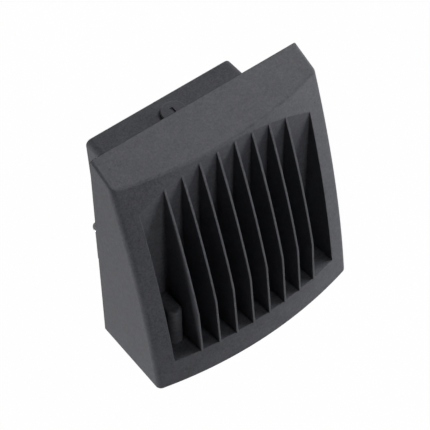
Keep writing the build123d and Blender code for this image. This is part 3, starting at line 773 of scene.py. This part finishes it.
@dataclass
class Seals:
    """Soft pieces of the light: door seal, lens seal, wall pad, plug rings, lead grommet and heat sheet."""

    rim: float = 4.6 * MM
    rim_range: Pair = (0.02, 0.98)
    seal_back: float = -48.0 * MM
    lip: float = 1.8 * MM
    lip_mean: float = 1.25
    lip_swing: float = 0.55
    seal_steps: tuple[int, int] = (33, 9)
    slack: float = 0.02 * MM
    soft_edge: float = 0.12 * MM
    edge_segments: int = 2
    lens_margin: Pair = (8.3 * MM, 12.0 * MM)
    lens_heights: Pair = (-92.0 * MM, -91.0 * MM)
    pad_margin: float = 4.2 * MM
    pad_depth: float = 2.0 * MM
    pad_bead: float = 0.45 * MM
    bead_half: float = 0.7 * MM
    bead_margin: float = 2.4 * MM
    wire_opening: float = 22.0 * MM
    fixing_circle: float = 44.45 * MM
    fixing_hole: float = 2.6 * MM
    ring_reach: Pair = (8.0 * MM, 9.9 * MM)
    ring_height: float = 0.8 * MM
    loop_steps: int = 20
    grommet_at: Point = (0.0, -66.0 * MM, -78.0 * MM)
    grommet_slot: Pair = (1.6 * MM, 1.12 * MM)
    grommet_rows: tuple[Point, ...] = (
        (0, 0, 0.3), (0, 0, 8.8), (0.12, 7, 9.1), (1, 6.4, 9.1), (1, 6.85, 8.95), (1, 7.0, 8.6), (1, 7.0, 7.8),
        (1, 6.8, 7.6), (1, 5.0, 7.6), (1, 5.0, 0.4), (1, 4.6, 0.0), (0.12, 5, 0.0),
    )
    sheet_half: Pair = (62.0 * MM, 20.0 * MM)
    sheet_hole: float = 2.0 * MM
    sheet_low: float = -78.5 * MM
    sheet_depth: float = 0.5 * MM

    @staticmethod
    def hole(radius: float, centre: np.ndarray | Pair) -> np.ndarray:
        """Points of a round hole, clockwise."""
        return (around(turns(HOLE_STEPS)) * radius + centre)[::-1]

    def punched(self, name: str, loops: list[np.ndarray], low: float, high: float, upright: bool) -> Piece:
        """Flat sheet with holes: loops filled on both faces and joined by walls.

        Args:
            name: Name of the piece.
            loops: Anticlockwise outline and clockwise holes, as points in the sheet's plane.
            low: One face of the sheet.
            high: The other face.
            upright: Whether the plane is X and Z rather than X and Y.

        Returns:
            The piece, with softly broken edges.
        """
        flat = np.vstack(loops)
        count = len(flat)
        fill = np.array(tessellate_polygon([[Vector((x, y, 0.0)) for x, y in p] for p in loops]))
        turn = np.linalg.det(flat[fill[:, 1:]] - flat[fill[:, :1]])
        fill = np.where(turn[:, None] < 0, fill[:, ::-1], fill)
        starts = np.cumsum([0] + [len(p) for p in loops])
        here = np.arange(count)
        ahead = np.concatenate([np.roll(here[s:e], -1) for s, e in zip(starts, starts[1:])])
        walls = np.column_stack([here + count, here, ahead, ahead + count])
        caps = np.vstack([fill + count, fill[:, ::-1]])
        points = lift(np.vstack([flat, flat]), np.repeat([low, high], count), upright)
        piece = Piece(name, points, [walls, caps])
        soft = piece.obj.modifiers.new("soft_edge", "BEVEL")
        soft.width = self.soft_edge
        soft.segments = self.edge_segments
        soft.limit_method = "ANGLE"
        return piece

    def door_seal(self) -> Piece:
        """Seal with two lips: across the rim u, its height is mean - swing cos(4 pi u), as a share of the greatest."""
        start, end = self.rim_range
        over, under = self.seal_steps
        top = np.linspace(start, end, over)
        base = np.linspace(end, start, under)
        wave = (self.lip_mean - self.lip_swing * np.cos(4 * math.pi * top)) / (self.lip_mean + self.lip_swing)
        depth = self.seal_back + self.lip * np.concatenate([wave, 0 * base])
        path = BoxOutline().inset(np.concatenate([top, base]) * self.rim)
        return Piece.shell("door_seal_lips", lift(path, depth, upright=True), closed=True)

    def lens_seal(self) -> Piece:
        """Flat seal with round edges, carried along the plan of the door."""
        near, far = self.lens_margin
        low, high = self.lens_heights
        loop = ring_loop((far - near) / 2 - self.slack, (high - low) / 2, self.loop_steps)
        path = DoorPlan().inset(loop[:, 0] + (near + far) / 2)
        return Piece.shell("lens_seal_band", lift(path, loop[:, 1] + (low + high) / 2), closed=True)

    def wall_pad(self) -> list[Piece]:
        """Moulded pad with its holes, and the beads that press on the wall."""
        full, edge, bead = BoxOutline(), self.pad_margin, self.pad_bead
        pad = BoxOutline(full.half_height - edge, full.half_top - edge, full.half_bottom - edge)
        places = self.fixing_circle * np.array([(1, 0), (0, 1), (-1, 0), (0, -1)])
        holes = [self.hole(self.wire_opening, (0, 0)), *(self.hole(self.fixing_hole, spot) for spot in places)]
        sheet = self.punched("wall_pad_sheet", [pad.inset(np.zeros(1))[:, 0], *holes], -self.pad_depth, -bead, True)
        loop = ring_loop(self.bead_half, bead, BEAD_STEPS, ELLIPSE)
        path = pad.inset(loop[:, 0] + self.bead_margin)
        outer = Piece.shell("wall_pad_bead", lift(path, loop[:, 1] - bead, upright=True), closed=True)
        inner = Piece.turned("wall_pad_ring", loop + (self.wire_opening + self.bead_margin, -bead), INTO_WALL)
        return [sheet, outer, inner]

    def plug_ring(self, node: str, direction: Point) -> Piece:
        """Round-edged ring in the place of a CAD node, under the head of a plug that points in a direction."""
        near, far = self.ring_reach
        low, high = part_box(node)
        loop = ring_loop((far - near) / 2 - self.slack, self.ring_height / 2, self.loop_steps)
        middle = (Vector(low) + Vector(high)) / 2
        return Piece.turned(node + "_moulded", loop + ((near + far) / 2, 0.0), direction, np.array([middle]))

    def grommet(self) -> Piece:
        """Grommet with a flange about a slot with round ends.

        Each row gives a share of the way from the slot to a circle, that circle's radius and a height, in millimetres.

        Returns:
            The grommet.
        """
        half, radius = self.grommet_slot
        across = around(turns(FINE_STEPS))
        slot = across * radius + np.where(across[:, :1] >= 0, half, -half) * (1, 0)
        share, reach, height = np.array(self.grommet_rows).T
        out = share[:, None]
        flat = slot[:, None] * (1 - out) + out * reach[:, None] * MM * across[:, None]
        grid = lift(flat, height * MM) + np.array(self.grommet_at)
        return Piece.shell("lead_grommet_moulded", grid, closed=True)

    def heat_sheet(self) -> Piece:
        """Thin filled sheet under the board, with holes for its screws."""
        x, y = BOARD_SCREWS
        centre, low = np.array([0.0, BOARD_Y]), self.sheet_low
        holes = [self.hole(self.sheet_hole, centre + (s * x, t * y)) for s in SIDES for t in SIDES]
        loops = [SQUARE * self.sheet_half + centre, *holes]
        return self.punched("thermal_pad_sheet", loops, low, low + self.sheet_depth, False)

    def build(self, paints: Paintbox) -> None:
        """Build every soft piece in the place of its solid."""
        black, grey = "black_silicone", "grey_rubber"
        self.door_seal().fit(paints, Body.DOOR, black, "door_seal")
        self.lens_seal().fit(paints, Body.DOOR, black, "lens_seal")
        sheet, outer, inner = self.wall_pad()
        sheet.fit(paints, Body.BASE, grey, "wall_pad")
        outer.fit(paints, Body.BASE, grey)
        inner.fit(paints, Body.BASE, grey)
        for side, direction in (("top", UP), ("left", (-1, 0, 0)), ("right", (1, 0, 0))):
            node = side + "_plug_ring"
            self.plug_ring(node, direction).fit(paints, Body.BASE, black, node)
        self.grommet().fit(paints, Body.DOOR, black, "lead_grommet")
        self.heat_sheet().fit(paints, Body.DOOR, "thermal_sheet", "thermal_pad")


@dataclass
class LightEngine:
    """Lamp chips, their clear optic and the solder joints, under the recess floor."""

    board_z: float = -80.1 * MM
    pitch: Pair = (14.0 * MM, 16.0 * MM)
    columns: int = 8
    optic_half: Pair = (53.0 * MM, 15.0 * MM)
    optic_steps: tuple[int, int] = (213, 61)
    optic_corner: float = 4.0 * MM
    optic_depth: float = 3.0 * MM
    optic_gap: float = 0.01 * MM
    dome: Pair = (5.6 * MM, 2.4 * MM)
    dimple: Pair = (0.35, 1.8 * MM)
    pocket: Pair = (2.8 * MM, 1.3 * MM)
    pocket_wall: float = 0.3 * MM
    chip_half: float = 2.5 * MM
    chip_height: float = 0.8 * MM
    chip_edge: Pair = (0.97, 0.74 * MM)
    chip_steps: int = 32
    chip_power: float = 12.0
    window: float = 0.8
    window_rim: float = 0.82
    window_rise: float = 0.19 * MM
    window_bend: float = 1.2
    window_rows: int = 5
    joint_x: float = 1.6 * MM
    joint_y: float = -75.6 * MM
    joint_size: float = 1.5 * MM
    joint_power: float = 0.7
    joint_reach: float = 0.9
    joint_steps: tuple[int, int] = (8, 24)

    def optic(self) -> Piece:
        """Clear plate with a dome over each chip.

        Within a dome's radius R, the surface stands out by H sqrt(1 - (r/R)^2) (1 - a exp(-(r/s)^2)), a round dome
        with a dimple of depth a and spread s that widens the light. Behind each dome a square pocket clears the chip.

        Returns:
            The optic.
        """
        long, wide = self.optic_half
        step_x, step_y = self.pitch
        steps_x, steps_y = self.optic_steps
        corner = self.optic_corner
        x = np.linspace(-long, long, steps_x)[:, None]
        into = np.clip(np.abs(x) - long + corner, 0.0, corner)
        half = wide - corner + np.sqrt(corner**2 - into**2)
        y = half * np.linspace(-1.0, 1.0, steps_y)[None, :]
        last = step_x * (self.columns - 1) / 2
        off_x = x - np.clip((np.floor(x / step_x) + 0.5) * step_x, -last, last)
        off_y = np.abs(y) - step_y / 2
        spread = off_x**2 + off_y**2
        reach, rise = self.dome
        dent, width = self.dimple
        dome = rise * np.sqrt(np.clip(1 - spread / reach**2, 0, 1)) * (1 - dent * np.exp(-spread / width**2))
        square, deep = self.pocket
        aside = np.maximum(np.abs(off_x), np.abs(off_y))
        hollow = np.clip((square + self.pocket_wall - aside) / self.pocket_wall, 0, 1)
        flat = np.stack([np.broadcast_to(x, y.shape), y + BOARD_Y], -1)
        outside = lift(flat, self.board_z - self.optic_depth - dome)
        inside = lift(flat, self.board_z - self.optic_gap - deep * hollow)[:, ::-1]
        return Piece.shell("led_optics_domes", np.concatenate([outside, inside], 1))

    def chips(self) -> Piece:
        """Square lamp packages, each with a low round window: loops blend from a square to a circle on the way out."""
        half, tall, count = self.chip_half, self.chip_height, self.chip_steps
        edge, shoulder = self.chip_edge
        bend = np.linspace(0.0, self.window_bend, self.window_rows)
        rise = tall + self.window_rise * np.sin(bend)
        dome = np.column_stack([self.window * np.cos(bend), rise, np.ones_like(bend)])
        package = [(1.0, 0.0, 0), (1.0, shoulder, 0), (edge, tall, 0), (self.window_rim, tall, 1)]
        scale, height, roundness = np.vstack([package, dome]).T[:, :, None]
        share = roundness[..., None]
        square = ring_loop(half, half, count, self.chip_power)
        loops = (1 - share) * square + share * ring_loop(half, half, count, ELLIPSE)
        step_x, step_y = self.pitch
        columns = (np.arange(self.columns) - (self.columns - 1) / 2) * step_x
        spots = np.array([(x, BOARD_Y + s * step_y / 2, 0.0) for x in columns for s in SIDES])
        grid = lift(scale[..., None] * loops, self.board_z - height)
        return Piece.shell("led_chips_packages", grid, spots=spots)

    def joints(self) -> Piece:
        """Solder cones where the leads land: radius s (1 - t)^p at height s t, for their size s and power p."""
        rows, columns = self.joint_steps
        share = np.linspace(0.0, self.joint_reach, rows)[:, None]
        ring = ring_loop(self.joint_size, self.joint_size, columns, ELLIPSE)
        grid = lift(ring * (1 - share[..., None]) ** self.joint_power, self.board_z - self.joint_size * share)
        spots = np.array([(s * self.joint_x, self.joint_y, 0.0) for s in SIDES])
        return Piece.shell("solder_joints", grid, spots=spots)

    def build(self, paints: Paintbox) -> None:
        """Build the optic, the chips and the joints."""
        self.optic().fit(paints, Body.DOOR, "clear_optic", "led_optics")
        self.chips().fit(paints, Body.DOOR, "led_phosphor", "led_chips")
        self.joints().fit(paints, Body.DOOR, "stainless_steel")


@dataclass
class Wiring:
    """Lid of the driver's case and the entries of the push-in connectors."""

    lid_at: Point = (0.0, -60.0 * MM, 30.0 * MM)
    lid_half: Pair = (42.0 * MM, 19.0 * MM)
    lid_steps: tuple[int, int] = (113, 129)
    lid_height: float = 0.55 * MM
    lid_border: float = 0.4
    lid_edge: float = 0.9 * MM
    rib_pitch: float = 4.2 * MM
    rib_height: float = 0.14 * MM
    rib_field: Pair = (34.0 * MM, 12.6 * MM)
    rib_fade: float = 1.0 * MM
    port_y: float = -64.0 * MM
    port_x: Point = (-38.0 * MM, -22.0 * MM, 22.0 * MM)
    port_z: Pair = (-48.5 * MM, -39.5 * MM)
    port_radius: float = 2.5 * MM
    collar_half: Pair = (0.4 * MM, 0.35 * MM)
    collar_level: float = 0.3 * MM
    collar_power: float = 3.0
    mouth_gap: float = 0.1 * MM
    mouth_steps: int = 32
    mouth_rows: tuple[Pair, ...] = ((1.0, 0.0), (0.98, 0.25 * MM), (0.7, 0.08 * MM), (0.4, 0.05 * MM))

    def lid(self) -> Piece:
        """Lid with rounded edges and shallow ribs.

        Its height is a share of the full one at the border, a quarter sine more over the rounded edge, and a cosine
        across the ribs.

        Returns:
            The lid.
        """
        long, tall = self.lid_half
        steps_x, steps_z = self.lid_steps
        field_x, field_z = self.rib_field
        x, z = np.meshgrid(np.linspace(-long, long, steps_x), np.linspace(-tall, tall, steps_z), indexing="ij")
        edge = np.minimum(long - np.abs(x), tall - np.abs(z)) / self.lid_edge
        rise = np.sin(np.clip(edge, 0, 1) * math.pi / 2)
        fade_x = np.clip((field_x - np.abs(x)) / self.rib_fade, 0, 1)
        fade_z = np.clip((field_z - np.abs(z)) / self.rib_fade, 0, 1)
        ribs = fade_x * fade_z * (0.5 + 0.5 * np.cos(2 * math.pi * z / self.rib_pitch))
        level = self.lid_height * (self.lid_border + (1 - self.lid_border) * rise) + self.rib_height * ribs
        flat = np.stack([x, z], -1)
        grid = np.concatenate([lift(flat, level, upright=True), lift(flat, 0.0, upright=True)[:, ::-1]], 1)
        return Piece.shell("driver_lid", grid + np.array(self.lid_at))

    def build(self, paints: Paintbox) -> None:
        """Build the lid, and about each entry a round-edged collar and a mouth: a shallow black cup of painted shade
        for the dark inside of the entry.
        """
        self.lid().fit(paints, Body.DOOR, "driver_case")
        spots = np.array([(x, self.port_y, z) for x in self.port_x for z in self.port_z])
        loop = ring_loop(*self.collar_half, BEAD_STEPS, self.collar_power) + (self.port_radius, self.collar_level)
        collars = Piece.turned("connector_collars", loop, INTO_WALL, spots)
        collars.fit(paints, Body.DOOR, "connector_body")
        # Painted shade: a shallow black dish fills each entry and stands in for the dark inside of the hole.
        radius = self.port_radius - self.mouth_gap
        entry_shade = Piece.discs("connector_mouths", radius, np.array(self.mouth_rows), self.mouth_steps, spots)
        entry_shade.fit(paints, Body.DOOR, "black_insulation")


@dataclass
class CastMarks:
    """Round marks that ejector pins leave inside the castings: low discs with a round edge and a dished face.

    Places are X and Z in millimetres. Rows give a share of the radius and a height in millimetres.
    """

    radius: float = 3.0 * MM
    rows: tuple[Pair, ...] = ((1.0, 0.0), (1.0, 0.10), (0.97, 0.16), (0.9, 0.18), (0.82, 0.12), (0.4, 0.09))
    box_y: float = -5.5 * MM
    box_places: tuple[Pair, ...] = ((-46, 58), (46, 58), (-42, -58), (44, -44))
    door_y: float = -82.0 * MM
    door_places: tuple[Pair, ...] = ((-54, 58), (54, 58), (-54, -2), (54, -2), (-20, -18), (20, -18))

    def build(self, paints: Paintbox) -> None:
        """Build the marks of the box, which stand out of the wall, and those of the door, which face it."""
        for name, body, level, direction, places in (
            ("box_pin_marks", Body.BASE, self.box_y, -1.0, self.box_places),
            ("door_pin_marks", Body.DOOR, self.door_y, 1.0, self.door_places),
        ):
            spots = lift(np.array(places) * MM, level, upright=True)
            rows = np.array(self.rows) * (1.0, direction * MM)
            Piece.discs(name, self.radius, rows, FINE_STEPS, spots).fit(paints, body, "graphite_casting")


@dataclass
class Studio:
    """Camera of the photograph, floor, backdrop and soft light."""

    eye: Point = (-0.51206, -0.75436, 1.11743)
    forward: Point = (0.36423, 0.48667, -0.79403)
    up: Point = (0.48722, 0.62704, 0.60781)
    lens: float = 151.05
    sensor: float = 36.0
    nearest: float = 0.01
    floor_drop: float = 1.0
    floor_half: float = 1.1
    floor_white: float = 0.975
    floor_sheen: float = 0.3
    floor_paper: Colour = (0.8, 0.8, 0.8)
    sky_sheen: float = 0.3
    lamps: tuple[tuple[str, Point, float, float], ...] = (
        ("left_softbox", (-1.6, 0.3, -0.15), 0.5, 15.4),
        ("front_softbox", (0.3, -2.1, 0.9), 0.5, 10.8),
        ("low_softbox", (1.4, -1.3, -0.3), 0.6, 11.0),
        ("high_softbox", (0.9, -0.1, 1.9), 1.0, 20.0),
        ("right_softbox", (1.8, -0.2, 0.5), 1.0, 19.0),
        ("back_softbox", (0.5, 2.0, -0.3), 1.0, 16.0),
    )

    def camera(self) -> None:
        """Create the camera at the photograph's place and angle."""
        data = bpy.data.cameras.new("photo_camera")
        data.sensor_fit = "HORIZONTAL"
        data.sensor_width = self.sensor
        data.lens = self.lens
        data.clip_start = self.nearest
        forward = Vector(self.forward).normalized()
        right = forward.cross(Vector(self.up)).normalized()
        up = right.cross(forward)
        turn = Matrix((right, up, -forward)).transposed()
        camera = add_object("photo_camera", data)
        camera.matrix_world = Matrix.Translation(self.eye) @ turn.to_4x4()
        bpy.context.scene.camera = camera

    def light(self) -> None:
        """Add square soft lamps that face the light's middle; each has its name, place, size and power."""
        for name, place, size, power in self.lamps:
            data = bpy.data.lights.new(name, "AREA")
            data.size = size
            data.energy = power
            lamp = add_object(name, data)
            lamp.location = place
            lamp.rotation_euler = (-Vector(place)).to_track_quat("-Z", "Y").to_euler()

    def backdrop(self) -> None:
        """Make the world white to the eye, with no light of its own on the object."""
        graph = Graph("studio", world=True)
        inputs = {"Color": solid(WHITE), "Strength": graph.seen(self.sky_sheen)}
        bpy.context.scene.world = graph.end(graph.node("ShaderNodeBackground", inputs))

    def floor(self) -> None:
        """Lay a pale floor that keeps the shadow and is open to a view from below."""
        mesh = bpy.data.meshes.new("floor")
        mesh.from_pydata(lift(self.floor_half * SQUARE, -self.floor_drop).tolist(), [], [(0, 1, 2, 3)])
        obj = add_object("floor", mesh)
        graph = Graph("pale_floor")
        paper = graph.node("ShaderNodeBsdfDiffuse", {"Color": solid(self.floor_paper)})
        white = graph.node("ShaderNodeEmission", {"Color": solid(WHITE), "Strength": 1.0})
        clear = graph.node("ShaderNodeBsdfTransparent")
        below = graph.node("ShaderNodeNewGeometry").outputs["Backfacing"]
        share = graph.seen(self.floor_sheen) * self.floor_white
        upper = graph.node("ShaderNodeMixShader", {0: share, 1: paper.outputs[0], 2: white.outputs[0]})
        both = graph.node("ShaderNodeMixShader", {0: below, 1: upper.outputs[0], 2: clear.outputs[0]})
        mesh.materials.append(graph.end(both))

    def build(self) -> None:
        """Set up the whole studio."""
        self.camera()
        self.light()
        self.backdrop()
        self.floor()
        bpy.context.scene.view_settings.view_transform = "Standard"


def main() -> None:
    """Dress the light and set up its studio."""
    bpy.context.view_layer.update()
    paints = Paintbox()
    paints.dress_nodes()
    for assembly in (Fasteners(), Seals(), LightEngine(), Wiring(), CastMarks()):
        assembly.build(paints)
    Studio().build()


if __name__ == "__main__":
    main()
